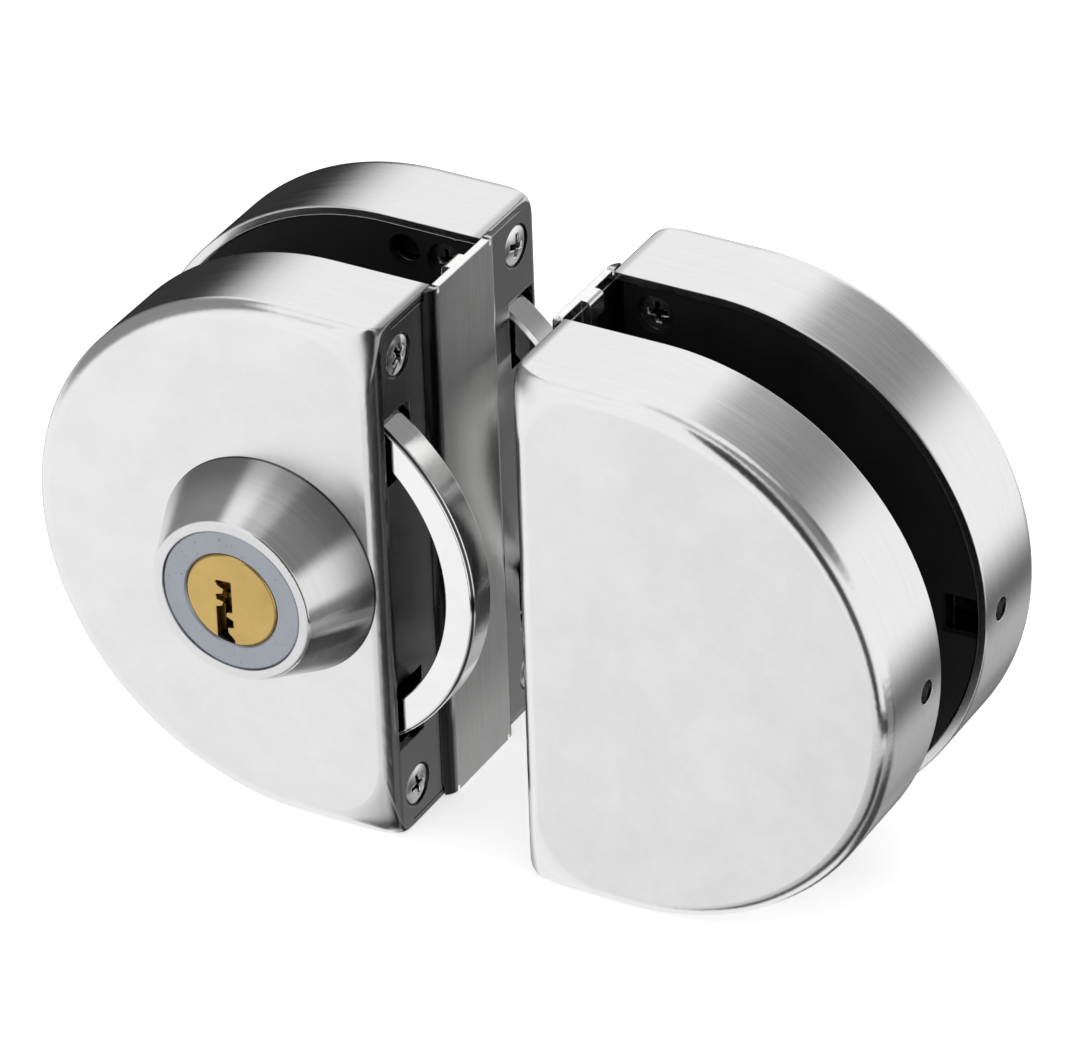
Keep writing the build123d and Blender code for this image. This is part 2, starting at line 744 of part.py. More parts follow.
def save_pair(name, shape, move=None):
    """Writes a front piece and its mirror twin at the back."""
    for side, piece in (("front", shape), ("back", mirror(shape, about=Plane.XZ))):
        if move:
            save(move.strip() + "_" + side + "_" + name, to_strike(piece))
        else:
            save(side + "_" + name, piece)


def build_lock():
    save("lock_frame", leg_rivet_holes(clamp_frame(lock_clamp_place)))
    save("front_glass_pad", glass_pad())
    save("back_glass_pad", mirror(glass_pad(lock_clamp_place), about=Plane.XZ))
    save_pair("cover", lock_cover())
    save_pair("corner_blocks", corner_blocks(cover_sheet))
    save_pair("boss", boss())
    save_pair("boss_nut", boss_nut())
    save_pair("key_cylinder", key_cylinder())
    save_pair("plug", plug())
    save_pair("plug_clip", plug_clip())
    save_pair("wafers", wafers())
    save_pair("tailpiece", tailpiece())
    save_pair("hook_bolt", hook_bolt())
    save_pair("pivot_bush", pivot_bush())
    save_pair("stop_pins", stop_pins())
    save_pair("detent_block", detent_block())
    save_pair("detent_ball", detent_ball())
    save_pair("detent_spring", detent_spring())
    save("lock_cover_screws", cover_screws())
    save("lock_block_screws", block_screws())
    save("lock_rim_screws", rim_screws())
    save("lock_clamp_screws", clamp_screws(lock_clamp_place))


def build_strike():
    save("strike_frame", to_strike(clamp_frame(strike_clamp_place)))
    save("strike_front_glass_pad", to_strike(glass_pad()))
    save("strike_back_glass_pad", to_strike(mirror(glass_pad(strike_clamp_place), about=Plane.XZ)))
    save_pair("cover", strike_cover(), "strike")
    save_pair("keeper_plate", keeper_plate(), "strike")
    save_pair("corner_blocks", corner_blocks(cover_sheet + keeper_thickness), "strike")
    save("strike_cover_screws", to_strike(cover_screws()))
    save("strike_block_screws", to_strike(block_screws()))
    save("strike_rim_screws", to_strike(rim_screws()))
    save("strike_clamp_screws", to_strike(clamp_screws(strike_clamp_place)))


os.makedirs("parts", exist_ok=True)
build_lock()
build_strike()
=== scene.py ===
import json
from collections import namedtuple
from math import cos, pi, radians, sin

import bmesh
import bpy
from mathutils import Matrix, Vector


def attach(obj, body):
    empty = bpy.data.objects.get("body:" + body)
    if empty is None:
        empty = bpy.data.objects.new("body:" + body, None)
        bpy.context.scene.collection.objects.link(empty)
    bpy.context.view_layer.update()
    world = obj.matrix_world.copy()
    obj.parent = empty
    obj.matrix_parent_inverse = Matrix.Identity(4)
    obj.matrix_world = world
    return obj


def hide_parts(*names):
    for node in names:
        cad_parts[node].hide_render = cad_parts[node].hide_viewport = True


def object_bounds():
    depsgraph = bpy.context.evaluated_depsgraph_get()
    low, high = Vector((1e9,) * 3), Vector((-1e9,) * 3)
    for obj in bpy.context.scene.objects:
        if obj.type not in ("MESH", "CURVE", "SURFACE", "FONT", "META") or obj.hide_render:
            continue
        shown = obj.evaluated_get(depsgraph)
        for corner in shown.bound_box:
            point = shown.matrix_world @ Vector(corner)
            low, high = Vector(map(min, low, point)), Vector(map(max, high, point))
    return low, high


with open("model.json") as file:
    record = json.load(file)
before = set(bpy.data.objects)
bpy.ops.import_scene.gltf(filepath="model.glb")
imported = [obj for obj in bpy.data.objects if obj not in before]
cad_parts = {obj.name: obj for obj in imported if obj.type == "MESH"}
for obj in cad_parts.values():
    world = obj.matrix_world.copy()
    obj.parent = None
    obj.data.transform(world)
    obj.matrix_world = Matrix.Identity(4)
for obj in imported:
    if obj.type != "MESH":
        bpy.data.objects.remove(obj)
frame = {"nodes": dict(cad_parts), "record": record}
cad_low, cad_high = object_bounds()

# The looks of a lock for a pair of glass doors: satin stainless covers and frames, polished hook
# bolts, turned bosses, brass plugs and black rubber pads. Lengths are in metres.

mm = 0.001

# Places taken from the frame. Depths are from the joint's middle, "out" is from the middle of the
# glass, heights are from the key, and the hook bolt turns about the key.
joint_middle = 9.5 * mm
cover_screw_depth = 9.65 * mm
cover_screw_out = 15.2 * mm
cover_screw_height = 32.3 * mm
block_screw_depth = 15.1 * mm
block_screw_out = 7.8 * mm
block_screw_height = 32.8 * mm
key_inset = 17.0 * mm
bolt_radius = 28.4 * mm
bolt_face = 18.5 * mm
boss_foot = 21.35 * mm
flat_wall_end = 10.0 * mm
leg_face = 6.9 * mm
bridge_outside = 9.3 * mm
edge_tab_side = 1.8 * mm
screw_seat_radius = 3.0 * mm
bridge_shade_height = 22.0 * mm

# Cross-head screws, in millimetres
cover_head_radius = 2.75
block_head_radius = 2.6
shank_radius = 1.5
cover_screw_length = 7.85
block_screw_length = 5.6
crown_rise = 0.3
crown_rings = 7
rim_width = 0.15
rim_drop = 0.12
tip_chamfer = 0.4
turning_steps = 48
recess_reach = 0.62
recess_width = 0.17
recess_taper = 0.6
recess_depth = 1.2
lip_round = 0.05

# How far each screw is turned, in degrees
screw_turns = (28, 62, 8, 40, 75, 15, 52, 33, 12, 38, 66, 24, 48, 5, 70, 57)

# The photograph's frame and viewing angle
image_width = 1080
focal_length_in_pixels = 7122.0
view_azimuth = radians(29.835)
view_elevation = radians(32.052)
view_roll = radians(-1.976)
view_distance = 911.1 * mm
view_target = Vector((10.84, 0, 1.59)) * mm
sensor_width = 36.0


# Node helpers

def add(tree, kind, inputs=None, **settings):
    """A new node. An input given a socket is linked to it, and any other value is set on it."""
    made = tree.nodes.new(kind)
    for key, value in settings.items():
        setattr(made, key, value)
    for key, value in (inputs or {}).items():
        if isinstance(value, bpy.types.NodeSocket):
            tree.links.new(value, made.inputs[key])
        else:
            made.inputs[key].default_value = value
    return made


def maths(tree, operation, a, b=0.0, clamp=False):
    """The result of a sum on two values."""
    return add(tree, "ShaderNodeMath", {0: a, 1: b}, operation=operation, use_clamp=clamp).outputs[0]


def vector_maths(tree, operation, a, b):
    """A node for a sum on two vectors."""
    return add(tree, "ShaderNodeVectorMath", {0: a, 1: b}, operation=operation)


def spread(tree, value, low, high, to_low=0.0, to_high=1.0, smooth=False):
    """A value carried from one range to another."""
    kind = "SMOOTHSTEP" if smooth else "LINEAR"
    inputs = {"Value": value, "From Min": low, "From Max": high, "To Min": to_low, "To Max": to_high}
    return add(tree, "ShaderNodeMapRange", inputs, interpolation_type=kind).outputs["Result"]


def toned(tree, colour, tone):
    """A colour multiplied by a tone."""
    inputs = {0: 1.0, 6: (*colour, 1.0), 7: tone}
    return add(tree, "ShaderNodeMix", inputs, data_type="RGBA", blend_type="MULTIPLY").outputs[2]


def new_group(name, inputs, outputs):
    """A shader node group with float inputs, and outputs given as (name, socket type)."""
    group = bpy.data.node_groups.new(name, "ShaderNodeTree")
    for label, value in inputs:
        group.interface.new_socket(label, in_out="INPUT", socket_type="NodeSocketFloat").default_value = value
    for label, kind in outputs:
        group.interface.new_socket(label, in_out="OUTPUT", socket_type=kind)
    start = group.nodes.new("NodeGroupInput")
    end = group.nodes.new("NodeGroupOutput")
    return group, start, end


def stretched(tree, across, along):
    """Object coordinates drawn out along X and Z, so that a noise on them makes lines at one depth."""
    coordinates = add(tree, "ShaderNodeTexCoord").outputs["Object"]
    scale = add(tree, "ShaderNodeCombineXYZ", {0: along, 1: across, 2: along}).outputs[0]
    return vector_maths(tree, "MULTIPLY", coordinates, scale).outputs[0]


# Surface effects that several finishes share

def brushed_grain_group():
    """Fine lines left by the abrasive belt or the lathe, and the soft streaks that they add up to."""
    group, start, end = new_group(
        "BrushedGrain", [("Across", 5000.0), ("Along", 120.0)],
        [("Height", "NodeSocketFloat"), ("Streaks", "NodeSocketFloat")])
    across, along = start.outputs["Across"], start.outputs["Along"]
    fine = add(group, "ShaderNodeTexNoise", {"Vector": stretched(group, across, along), "Scale": 1.0,
                                            "Detail": 4.0, "Roughness": 0.7})
    wide_across = maths(group, "MULTIPLY", across, 0.22)
    wide_along = maths(group, "MULTIPLY", along, 0.5)
    wide_vector = stretched(group, wide_across, wide_along)
    wide = add(group, "ShaderNodeTexNoise", {"Vector": wide_vector, "Scale": 1.0, "Detail": 3.0,
                                            "Roughness": 0.6})
    mixed = maths(group, "ADD", maths(group, "MULTIPLY", fine.outputs["Fac"], 0.6),
                  maths(group, "MULTIPLY", wide.outputs["Fac"], 0.4))
    group.links.new(fine.outputs["Fac"], end.inputs["Height"])
    group.links.new(mixed, end.inputs["Streaks"])
    return group


def handling_group():
    """Soft patches where the satin has been rubbed, and tiny pits."""
    group, start, end = new_group(
        "Handling", [("Patch Size", 0.02), ("Pit Size", 0.0006), ("Pit Share", 0.1)],
        [("Patches", "NodeSocketFloat"), ("Pits", "NodeSocketFloat")])
    coordinates = add(group, "ShaderNodeTexCoord").outputs["Object"]
    patch_scale = maths(group, "DIVIDE", 1.0, start.outputs["Patch Size"])
    pit_scale = maths(group, "DIVIDE", 1.0, start.outputs["Pit Size"])
    patches = add(group, "ShaderNodeTexNoise", {"Vector": coordinates, "Scale": patch_scale, "Detail": 3.0,
                                               "Roughness": 0.55})
    speckle = add(group, "ShaderNodeTexNoise", {"Vector": coordinates, "Scale": pit_scale, "Detail": 2.0,
                                               "Roughness": 0.6})
    level = maths(group, "SUBTRACT", 0.72, maths(group, "MULTIPLY", start.outputs["Pit Share"], 0.3))
    pits = maths(group, "MULTIPLY", maths(group, "SUBTRACT", speckle.outputs["Fac"], level, clamp=True), 6.0,
                 clamp=True)
    group.links.new(patches.outputs["Fac"], end.inputs["Patches"])
    group.links.new(pits, end.inputs["Pits"])
    return group


def edge_group():
    """Where an edge is: the rounded normal against the flat one."""
    group, start, end = new_group(
        "Edges", [("Width", 0.0003)], [("Mask", "NodeSocketFloat"), ("Normal", "NodeSocketVector")])
    rounded = add(group, "ShaderNodeBevel", {"Radius": start.outputs["Width"]}, samples=4).outputs[0]
    flat = add(group, "ShaderNodeNewGeometry").outputs["Normal"]
    agreement = vector_maths(group, "DOT_PRODUCT", rounded, flat).outputs["Value"]
    mask = spread(group, agreement, 0.995, 0.85, 0.0, 1.0)
    group.links.new(mask, end.inputs["Mask"])
    group.links.new(rounded, end.inputs["Normal"])
    return group


brushed_grain = brushed_grain_group()
handling = handling_group()
edges = edge_group()


# Finishes

def round_the_piece(tree):
    """The tangent that runs round a drawn or turned piece, square to its depth."""
    normal = add(tree, "ShaderNodeNewGeometry").outputs["Normal"]
    round_it = vector_maths(tree, "CROSS_PRODUCT", normal, (0, 1, 0)).outputs[0]
    return vector_maths(tree, "ADD", round_it, (0.02, 0, 0)).outputs[0]


Place = namedtuple("Place", "from_joint from_glass in_front from_key")


def place_in_lock(tree):
    """How far a point is from the middles of the joint and the glass, before the glass, and from the key."""
    coordinates = add(tree, "ShaderNodeTexCoord").outputs["Object"]
    x, y, z = add(tree, "ShaderNodeSeparateXYZ", {0: coordinates}).outputs
    return Place(from_joint=maths(tree, "ABSOLUTE", maths(tree, "SUBTRACT", x, joint_middle)),
                 from_glass=maths(tree, "ABSOLUTE", y),
                 in_front=maths(tree, "MULTIPLY", y, -1.0),
                 from_key=maths(tree, "ABSOLUTE", z))


def distance(tree, a, b):
    """The length of two sides at right angles, across the corner."""
    squares = maths(tree, "ADD", maths(tree, "MULTIPLY", a, a), maths(tree, "MULTIPLY", b, b))
    return maths(tree, "SQRT", squares)


def painted_flat_wall_shade(tree):
    """The covers' flat walls beside the joint, with painted shade: darker than the rest, more so in front,
    and dark in the screws' seats.
    """
    place = place_in_lock(tree)
    # Painted shade: the flat walls are darkened, and the screws' seats are darkened further.
    wall = spread(tree, place.from_joint, flat_wall_end, flat_wall_end + 1.1 * mm, 1.0, 0.0, smooth=True)
    loss = spread(tree, place.in_front, -3 * mm, 3 * mm, 0.35, 0.62)
    from_screw = distance(tree, maths(tree, "SUBTRACT", place.from_glass, cover_screw_out),
                          maths(tree, "SUBTRACT", place.from_key, cover_screw_height))
    seat = spread(tree, from_screw, screw_seat_radius, screw_seat_radius + 0.15 * mm, 0.97, 0.0)
    loss = maths(tree, "MAXIMUM", loss, seat)
    return maths(tree, "SUBTRACT", 1.0, maths(tree, "MULTIPLY", wall, loss))


def painted_channel_shade(tree):
    """The frame with painted shade, dark at the legs, bends and inside beside the rubber, and with painted
    light, lighter at the bridge's ends.
    """
    place = place_in_lock(tree)
    # Painted shade on the legs, the bends and the inside beside the rubber.
    leg = spread(tree, place.from_glass, leg_face, leg_face + 0.7 * mm)
    inside = spread(tree, place.from_joint, bridge_outside, bridge_outside + 0.3 * mm)
    beside_tab = spread(tree, place.from_glass, edge_tab_side, edge_tab_side + 0.2 * mm)
    dark = maths(tree, "MAXIMUM", leg, maths(tree, "MULTIPLY", inside, beside_tab))
    # Painted light: the bridge's ends are made lighter.
    shade_end = bridge_shade_height + 11 * mm
    ends = spread(tree, place.from_key, bridge_shade_height, shade_end, 1.0, 1.33, smooth=True)
    return maths(tree, "MULTIPLY", maths(tree, "SUBTRACT", 1.0, maths(tree, "MULTIPLY", dark, 0.93)), ends)


def painted_base_shade(tree):
    """The boss with painted shade: a little darker towards the cover, and a painted dark line of shade where
    they meet.
    """
    from_glass = place_in_lock(tree).from_glass
    line_end = boss_foot + 0.15 * mm
    rise = spread(tree, from_glass, line_end, line_end + 7 * mm, 0.55, 1.0, smooth=True)
    return maths(tree, "MULTIPLY", rise, spread(tree, from_glass, boss_foot, line_end, 0.12, 1.0))


def painted_chamfer_shade(tree):
    """The hook bolt, with painted shade darkening its outer chamfer."""
    low, high = -0.42 * mm, -0.36 * mm
    coordinates = add(tree, "ShaderNodeTexCoord").outputs["Object"]
    x, y, z = add(tree, "ShaderNodeSeparateXYZ", {0: coordinates}).outputs
    from_key = distance(tree, maths(tree, "ADD", x, key_inset), z)
    chamfer = maths(tree, "MULTIPLY", spread(tree, from_key, bolt_radius + low, bolt_radius + high),
                    spread(tree, maths(tree, "ABSOLUTE", y), bolt_face + low, bolt_face + high))
    return maths(tree, "SUBTRACT", 1.0, maths(tree, "MULTIPLY", chamfer, 0.93))


def painted_cover_recess_shade(tree):
    """A cover screw, with painted shade making it dark below the plane of its head, in its cross recess."""
    head = cover_screw_depth - 0.02 * mm
    return spread(tree, place_in_lock(tree).from_joint, head, head + 0.1 * mm, 1.0, 0.05)


def painted_block_recess_shade(tree):
    """A corner block's screw, with painted shade making it dark below the plane of its head, in its cross
    recess.
    """
    head = block_screw_out
    return spread(tree, place_in_lock(tree).from_glass, head, head + 0.12 * mm, 1.0, 0.08)


def metal(name, colour, roughness, across=5000.0, along=120.0, depth=0.06, streaks=0.05, patches=0.05,
          patch_size=0.02, pits=0.0, pit_size=0.0006, anisotropy=0.5, edge_width=0.0002, painted_edge_highlight=0.1,
          shade=None):
    """A ground, turned or plated metal: grain, rubbed patches, pits, and a painted highlight that brightens
    its edges.
    """
    material = bpy.data.materials.new(name)
    material.use_nodes = True
    tree = material.node_tree
    shader = tree.nodes["Principled BSDF"]
    grain = add(tree, "ShaderNodeGroup", node_tree=brushed_grain)
    grain.inputs["Across"].default_value = across
    grain.inputs["Along"].default_value = along
    wear = add(tree, "ShaderNodeGroup", node_tree=handling)
    wear.inputs["Patch Size"].default_value = patch_size
    wear.inputs["Pit Size"].default_value = pit_size
    wear.inputs["Pit Share"].default_value = pits
    edge = add(tree, "ShaderNodeGroup", node_tree=edges)
    edge.inputs["Width"].default_value = edge_width
    grain_tone = spread(tree, grain.outputs["Streaks"], 0.3, 0.7, 1 - streaks, 1 + streaks)
    patch_tone = spread(tree, wear.outputs["Patches"], 0.3, 0.7, 1 - patches, 1 + patches)
    pit_tone = spread(tree, wear.outputs["Pits"], 0.0, 1.0, 1.0, 1.0 - 0.6 * min(1.0, pits * 4))
    tone = maths(tree, "MULTIPLY", maths(tree, "MULTIPLY", grain_tone, patch_tone), pit_tone)
    # Painted shade, and painted light where the shade function gives it, multiplied into the colour.
    if shade:
        tone = maths(tree, "MULTIPLY", tone, shade(tree))
    # Painted highlight: the edges' colour is made lighter.
    tone = maths(tree, "ADD", tone, maths(tree, "MULTIPLY", edge.outputs["Mask"], painted_edge_highlight))
    base = toned(tree, colour, tone)
    rough = maths(tree, "ADD", spread(tree, wear.outputs["Patches"], 0.3, 0.7, -0.8 * patches, 0.8 * patches),
                  spread(tree, grain.outputs["Streaks"], 0.3, 0.7, roughness - 0.03, roughness + 0.03))
    rough = maths(tree, "SUBTRACT", rough, maths(tree, "MULTIPLY", edge.outputs["Mask"], 0.06))
    height = maths(tree, "SUBTRACT", grain.outputs["Height"],
                   maths(tree, "MULTIPLY", wear.outputs["Pits"], 2.0 if pits else 0.0))
    bump = add(tree, "ShaderNodeBump", {"Height": height, "Normal": edge.outputs["Normal"], "Strength": depth,
                                        "Distance": 0.0001})
    tree.links.new(base, shader.inputs["Base Color"])
    tree.links.new(rough, shader.inputs["Roughness"])
    tree.links.new(bump.outputs["Normal"], shader.inputs["Normal"])
    tree.links.new(round_the_piece(tree), shader.inputs["Tangent"])
    shader.inputs["Metallic"].default_value = 1.0
    shader.inputs["Anisotropic"].default_value = anisotropy
    shader.inputs["Anisotropic Rotation"].default_value = 0.25
    return material


def rubber(name, colour):
    """Smooth black rubber sheet with a faint bloom."""
    material = bpy.data.materials.new(name)
    material.use_nodes = True
    tree = material.node_tree
    shader = tree.nodes["Principled BSDF"]
    wear = add(tree, "ShaderNodeGroup", node_tree=handling)
    wear.inputs["Patch Size"].default_value = 0.008
    wear.inputs["Pit Size"].default_value = 0.0003
    tone = spread(tree, wear.outputs["Patches"], 0.3, 0.7, 0.8, 1.25)
    base = toned(tree, colour, tone)
    bump = add(tree, "ShaderNodeBump", {"Height": wear.outputs["Pits"], "Strength": 0.08, "Distance": 0.0001})
    tree.links.new(base, shader.inputs["Base Color"])
    tree.links.new(spread(tree, wear.outputs["Patches"], 0.3, 0.7, 0.5, 0.62), shader.inputs["Roughness"])
    tree.links.new(bump.outputs["Normal"], shader.inputs["Normal"])
    shader.inputs["Specular IOR Level"].default_value = 0.25
    return material


metals = {
    "satin_stainless": dict(colour=(0.83, 0.83, 0.83), roughness=0.16, depth=0.02, patches=0.01,
                            anisotropy=0.88, shade=painted_flat_wall_shade),
    "frame_stainless": dict(colour=(0.74, 0.74, 0.73), roughness=0.20, depth=0.03, streaks=0.08,
                            patches=0.03, pits=0.12, anisotropy=0.7, shade=painted_channel_shade),
    "hook_steel": dict(colour=(0.96, 0.96, 0.96), roughness=0.11, across=6000.0, depth=0.02, patches=0.01,
                       anisotropy=0.7, painted_edge_highlight=0.0, shade=painted_chamfer_shade),
    "boss_stainless": dict(colour=(0.76, 0.76, 0.76), roughness=0.17, across=7000.0, along=60.0,
                           depth=0.03, streaks=0.06, patches=0.02, anisotropy=0.85, shade=painted_base_shade),
    "satin_chrome": dict(colour=(0.40, 0.425, 0.47), roughness=0.38, depth=0.02, patches=0.08,
                         patch_size=0.006, pits=0.25, pit_size=0.0004, anisotropy=0.0),
    "plug_brass": dict(colour=(0.60, 0.42, 0.15), roughness=0.28, depth=0.03, streaks=0.08, patches=0.10,
                       patch_size=0.006, anisotropy=0.3),
    "wafer_brass": dict(colour=(0.50, 0.35, 0.12), roughness=0.32),
    "zinc_steel": dict(colour=(0.55, 0.56, 0.57), roughness=0.36, pits=0.1),
    "screw_steel": dict(colour=(0.78, 0.78, 0.77), roughness=0.16, depth=0.02, anisotropy=0.0),
    "cover_screw_steel": dict(colour=(0.92, 0.92, 0.91), roughness=0.10, depth=0.02, anisotropy=0.0,
                              painted_edge_highlight=0.3, shade=painted_cover_recess_shade),
    # A copy of the screw steel darkened by painted shade for the screws in the dark gap, with a strong
    # painted highlight on its edges.
    "block_screw_steel_painted_shade": dict(colour=(0.60, 0.60, 0.61), roughness=0.30, depth=0.02, anisotropy=0.0,
                              painted_edge_highlight=0.6, shade=painted_block_recess_shade),
    "spring_steel": dict(colour=(0.60, 0.60, 0.62), roughness=0.25, anisotropy=0.2),
    "black_oxide": dict(colour=(0.06, 0.06, 0.062), roughness=0.35, depth=0.02, anisotropy=0.0,
                        painted_edge_highlight=0.25),
}


def all_finishes():
    """The finishes of the record's material slots, and two more for the screws with a cross recess."""
    made = {name: metal(name, **look) for name, look in metals.items()}
    made["black_rubber"] = rubber("black_rubber", (0.009, 0.009, 0.009))
    return made


def dress_cad_nodes(finishes):
    """Every piece of the frame gets the finish of its slot in the record."""
    for part in frame["record"]["subparts"]:
        piece = frame["nodes"][part["node"]]
        for place in piece.material_slots:
            place.material = finishes[part["material_slot"]]


# Screws with a cross recess

def cross_head_screw(head_radius, length):
    """A countersunk screw with its head's rim at height 0, drawn in millimetres along Z."""
    crown = head_radius - rim_width
    cone_top = -2.5 * rim_drop
    shares = [k / crown_rings for k in range(crown_rings + 1)]
    profile = [(crown * share, crown_rise * (1 - share ** 2)) for share in shares]
    profile += [(head_radius - 0.04, -0.03), (head_radius, -rim_drop), (head_radius, cone_top),
                (shank_radius, cone_top - head_radius + shank_radius), (shank_radius, tip_chamfer - length),
                (shank_radius - tip_chamfer, -length), (0, -length)]
    sheet = bmesh.new()
    points = [sheet.verts.new((r, 0, z)) for r, z in profile]
    runs = [sheet.edges.new(pair) for pair in zip(points, points[1:])]
    bmesh.ops.spin(sheet, geom=points + runs, cent=(0, 0, 0), axis=(0, 0, 1), angle=2 * pi,
                   steps=turning_steps, use_merge=True)
    bmesh.ops.remove_doubles(sheet, verts=sheet.verts, dist=0.0005)
    bmesh.ops.recalc_face_normals(sheet, faces=sheet.faces)
    cut_cross_recess(sheet, crown)
    for face in sheet.faces:
        face.smooth = True
    for edge in sheet.edges:
        edge.smooth = edge.calc_face_angle(0) < radians(32)
    mesh = bpy.data.meshes.new("cross_head_screw")
    sheet.to_mesh(mesh)
    sheet.free()
    return mesh


def crown_faces(sheet):
    """The faces of a screw's domed head."""
    return [face for face in sheet.faces if face.calc_center_median().z > -0.01]


def in_cross(face, reach, width):
    """Whether a face lies in one of the cross's two bars."""
    middle = face.calc_center_median()
    near, far = sorted((abs(middle.x), abs(middle.y)))
    return near < width and far < reach


def cut_cross_recess(sheet, crown):
    """A tapered cross sunk in the middle of a screw's domed head."""
    reach, width = recess_reach * crown, recess_width * crown
    for out in (reach, width):
        for normal in ((1, 0, 0), (-1, 0, 0), (0, 1, 0), (0, -1, 0)):
            faces = crown_faces(sheet)
            around = {e for f in faces for e in f.edges} | {v for f in faces for v in f.verts}
            bmesh.ops.bisect_plane(sheet, geom=faces + list(around), plane_co=Vector(normal) * out,
                                   plane_no=normal, dist=0.0001)
    cross = [face for face in crown_faces(sheet) if in_cross(face, reach, width)]
    sunk = bmesh.ops.extrude_face_region(sheet, geom=cross)["geom"]
    for vert in sunk:
        if isinstance(vert, bmesh.types.BMVert):
            vert.co = Vector((vert.co.x * recess_taper, vert.co.y * recess_taper, -recess_depth))
    bmesh.ops.delete(sheet, geom=cross, context="FACES")
    bmesh.ops.recalc_face_normals(sheet, faces=sheet.faces)
    lips = [e for e in sheet.edges
            if len(e.link_faces) == 2 and e.calc_face_angle(0) > radians(50)
            and min(v.co.z for v in e.verts) > 0]
    bmesh.ops.bevel(sheet, geom=lips, offset=lip_round, affect="EDGES", segments=2, profile=0.5, material=-1)


def screw_set(name, node, body, screw, places, finish):
    """Like screws that stand for a node. Each place is a point, the way out and a turn in degrees."""
    made = bmesh.new()
    for point, out, turn in places:
        first = len(made.verts)
        made.from_mesh(screw)
        made.verts.ensure_lookup_table()
        aimed = Vector(out).to_track_quat("Z", "Y").to_matrix().to_4x4()
        turned = aimed @ Matrix.Rotation(radians(turn), 4, "Z")
        placed = Matrix.Translation(point) @ turned @ Matrix.Scale(mm, 4)
        bmesh.ops.transform(made, verts=made.verts[first:], matrix=placed)
    mesh = bpy.data.meshes.new(name)
    made.to_mesh(mesh)
    made.free()
    mesh.materials.append(finish)
    piece = bpy.data.objects.new(name, mesh)
    bpy.context.scene.collection.objects.link(piece)
    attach(piece, body)
    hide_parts(node)


def all_screws(finishes):
    """The cover screws in the flat walls, and the corner blocks' screws in the legs."""
    cover_screw = cross_head_screw(cover_head_radius, cover_screw_length)
    block_screw = cross_head_screw(block_head_radius, block_screw_length)
    turns = iter(screw_turns)
    for half, body, side in (("lock", "lock_body", -1), ("strike", "strike_half", 1)):
        cover_places, block_places = [], []
        for front in (-1, 1):
            for up in (1, -1):
                cover_point = (joint_middle + side * cover_screw_depth, front * cover_screw_out,
                               up * cover_screw_height)
                block_point = (joint_middle + side * block_screw_depth, front * block_screw_out,
                               up * block_screw_height)
                cover_places.append((cover_point, (-side, 0, 0), next(turns)))
                block_places.append((block_point, (0, -front, 0), next(turns)))
        screw_set(half + "_cross_head_cover_screws", half + "_cover_screws", body, cover_screw, cover_places,
                  finishes["cover_screw_steel"])
        screw_set(half + "_cross_head_block_screws", half + "_block_screws", body, block_screw, block_places,
                  finishes["block_screw_steel_painted_shade"])


# Studio

# The room as metal shows it, the light on matt surfaces, and the floor's glow to the eye
room_brightness = 1.0
soft_light = 0.9
floor_glow = 0.55

# Dark cards hung round the lock, as the metal shows them. Each is (azimuth, elevation, half width,
# half height, soft edge), in degrees, and how much of the light it takes away. Azimuth 0 is in
# front of the lock and 90 is on its right.
cards = [
    (17, 16, 17, 46, 5, 0.97),
    (42, 33, 11, 16, 10, 0.50),
    (90, 50, 36, 30, 18, 0.77),
    (150, 33.5, 33, 12, 16, 0.75),
    (0, 90, 180, 12, 14, 0.45),
    (96, -29, 34, 9, 12, 0.75),
    (19, -28, 11, 5, 4, 0.95),
    (52, -32, 22, 3.5, 3, 0.95),
    (150, -30, 28, 8, 16, 0.84),
    (-152, -32, 26, 10, 8, 0.95),
    (118, -47, 22, 6, 10, 0.60),
    (112, -55, 74, 16, 8, 0.55),
    (135, -61, 62, 13, 12, 0.85),
    (5, -64, 42, 10, 8, 0.94),
    (40, -51.5, 17, 9.5, 5, 0.93),
    (5, -52, 25, 14, 24, 0.35),
    (5, -52, 38, 20, 16, 0.25),
    (-139, -12, 14, 29, 20, 0.98),
    (-88, 20, 40, 34, 12, 0.72),
]


def card_shadow(tree, direction, azimuth, elevation, half_width, half_height, soft, dark):
    """What one card leaves of the light, by the direction looked in."""
    turn = radians(azimuth)
    ahead = vector_maths(tree, "DOT_PRODUCT", direction, (sin(turn), -cos(turn), 0)).outputs["Value"]
    aside = vector_maths(tree, "DOT_PRODUCT", direction, (cos(turn), sin(turn), 0)).outputs["Value"]
    rise = vector_maths(tree, "DOT_PRODUCT", direction, (0, 0, 1)).outputs["Value"]
    across = maths(tree, "ABSOLUTE", maths(tree, "ARCTAN2", aside, ahead))
    up = maths(tree, "ABSOLUTE", maths(tree, "SUBTRACT", maths(tree, "ARCSINE", rise), radians(elevation)))
    edge = radians(soft) / 2
    inside = maths(
        tree, "MULTIPLY",
        spread(tree, across, radians(half_width) - edge, radians(half_width) + edge, 1.0, 0.0, smooth=True),
        spread(tree, up, radians(half_height) - edge, radians(half_height) + edge, 1.0, 0.0, smooth=True))
    return maths(tree, "SUBTRACT", 1.0, maths(tree, "MULTIPLY", inside, dark))


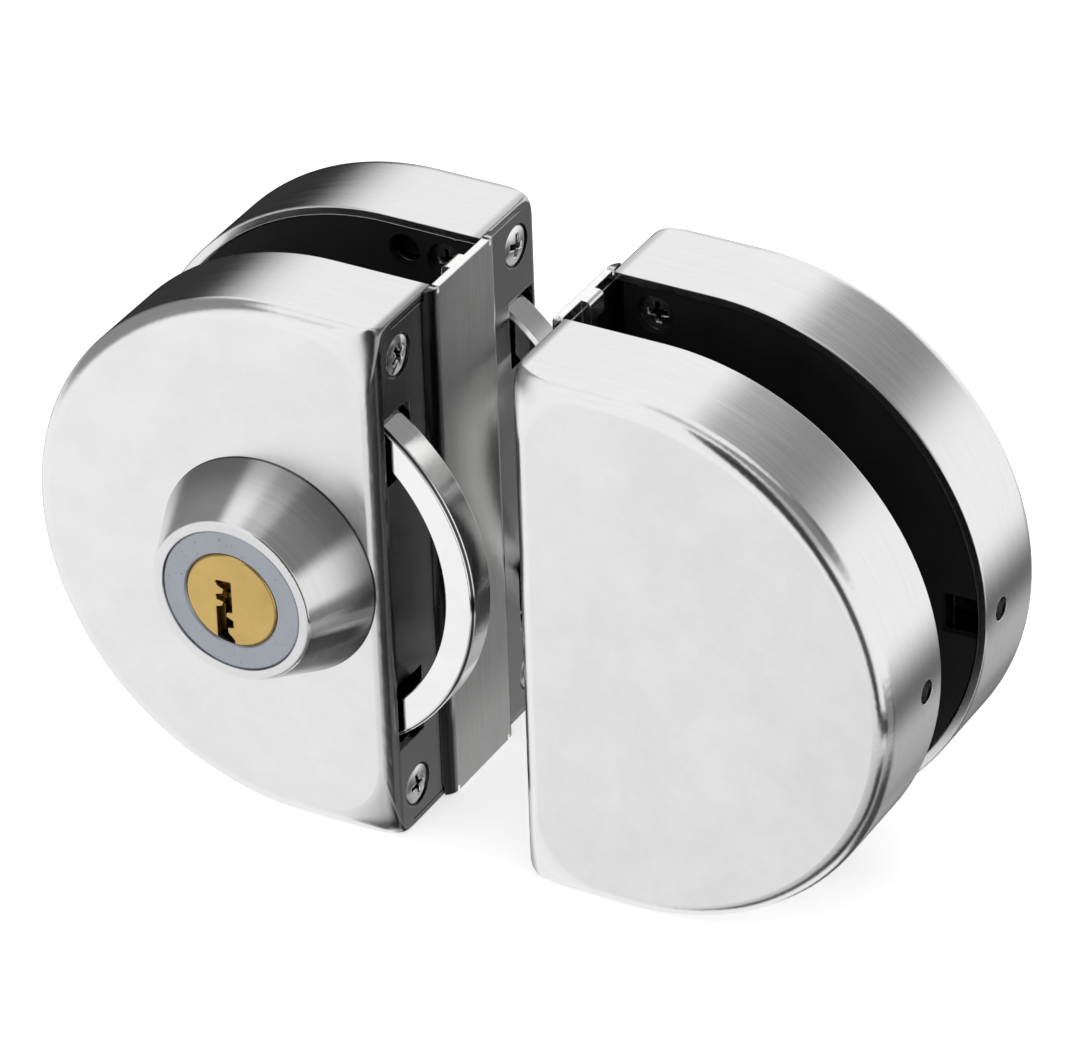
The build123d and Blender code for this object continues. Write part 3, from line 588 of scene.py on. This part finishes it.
def studio_world():
    """White surroundings, with dark cards where metal shows them."""
    world = bpy.data.worlds.new("studio")
    bpy.context.scene.world = world
    world.use_nodes = True
    world.cycles.sampling_method = "NONE"
    tree = world.node_tree
    tree.nodes.clear()
    direction = add(tree, "ShaderNodeTexCoord").outputs["Generated"]
    light = room_brightness
    for card in cards:
        light = maths(tree, "MULTIPLY", light, card_shadow(tree, direction, *card))
    ray = add(tree, "ShaderNodeLightPath").outputs
    for_surfaces = add(tree, "ShaderNodeMix", {0: ray["Is Glossy Ray"], 2: soft_light, 3: light}).outputs[0]
    strength = add(tree, "ShaderNodeMix", {0: ray["Is Camera Ray"], 2: for_surfaces, 3: 1.0}).outputs[0]
    background = add(tree, "ShaderNodeBackground", {"Color": (1, 1, 1, 1), "Strength": strength})
    end = add(tree, "ShaderNodeOutputWorld")
    tree.links.new(background.outputs[0], end.inputs["Surface"])


def pale_floor():
    """A plain floor just under the lock, white to the eye but for the lock's own shadow."""
    sheet = bmesh.new()
    bmesh.ops.create_grid(sheet, x_segments=1, y_segments=1, size=2.0)
    bmesh.ops.translate(sheet, verts=sheet.verts, vec=(0, 0, cad_low.z - 0.05 * mm))
    mesh = bpy.data.meshes.new("floor")
    sheet.to_mesh(mesh)
    sheet.free()
    floor = bpy.data.objects.new("floor", mesh)
    bpy.context.scene.collection.objects.link(floor)
    floor.visible_glossy = False
    material = bpy.data.materials.new("pale_floor")
    material.use_nodes = True
    tree = material.node_tree
    tree.nodes.clear()
    matt = add(tree, "ShaderNodeBsdfDiffuse", {"Color": (0.9, 0.9, 0.9, 1)})
    ray = add(tree, "ShaderNodeLightPath").outputs
    seen_glow = maths(tree, "MULTIPLY", ray["Is Camera Ray"], floor_glow)
    glow = add(tree, "ShaderNodeEmission", {"Strength": seen_glow})
    lit = add(tree, "ShaderNodeAddShader", {0: matt.outputs[0], 1: glow.outputs[0]})
    clear = add(tree, "ShaderNodeBsdfTransparent")
    under = add(tree, "ShaderNodeNewGeometry").outputs["Backfacing"]
    both_sides = add(tree, "ShaderNodeMixShader", {0: under, 1: lit.outputs[0], 2: clear.outputs[0]})
    end = add(tree, "ShaderNodeOutputMaterial")
    tree.links.new(both_sides.outputs[0], end.inputs["Surface"])
    mesh.materials.append(material)


def camera():
    """The photograph's viewing angle, with a long lens."""
    back = Vector((sin(view_azimuth) * cos(view_elevation), -cos(view_azimuth) * cos(view_elevation),
                   sin(view_elevation)))
    right = Vector((cos(view_azimuth), sin(view_azimuth), 0))
    up = back.cross(right)
    tilted_right = right * cos(view_roll) + up * sin(view_roll)
    tilted_up = up * cos(view_roll) - right * sin(view_roll)
    data = bpy.data.cameras.new("camera")
    data.sensor_width = sensor_width
    data.lens = focal_length_in_pixels * sensor_width / image_width
    data.clip_start = 10 * mm
    data.clip_end = 10.0
    turned = Matrix((tilted_right, tilted_up, back)).transposed().to_4x4()
    eye = bpy.data.objects.new("camera", data)
    eye.matrix_world = Matrix.Translation(view_target + back * view_distance) @ turned
    bpy.context.scene.collection.objects.link(eye)
    bpy.context.scene.camera = eye


bpy.context.scene.view_settings.view_transform = "Standard"
finishes = all_finishes()
dress_cad_nodes(finishes)
all_screws(finishes)
studio_world()
pale_floor()
camera()
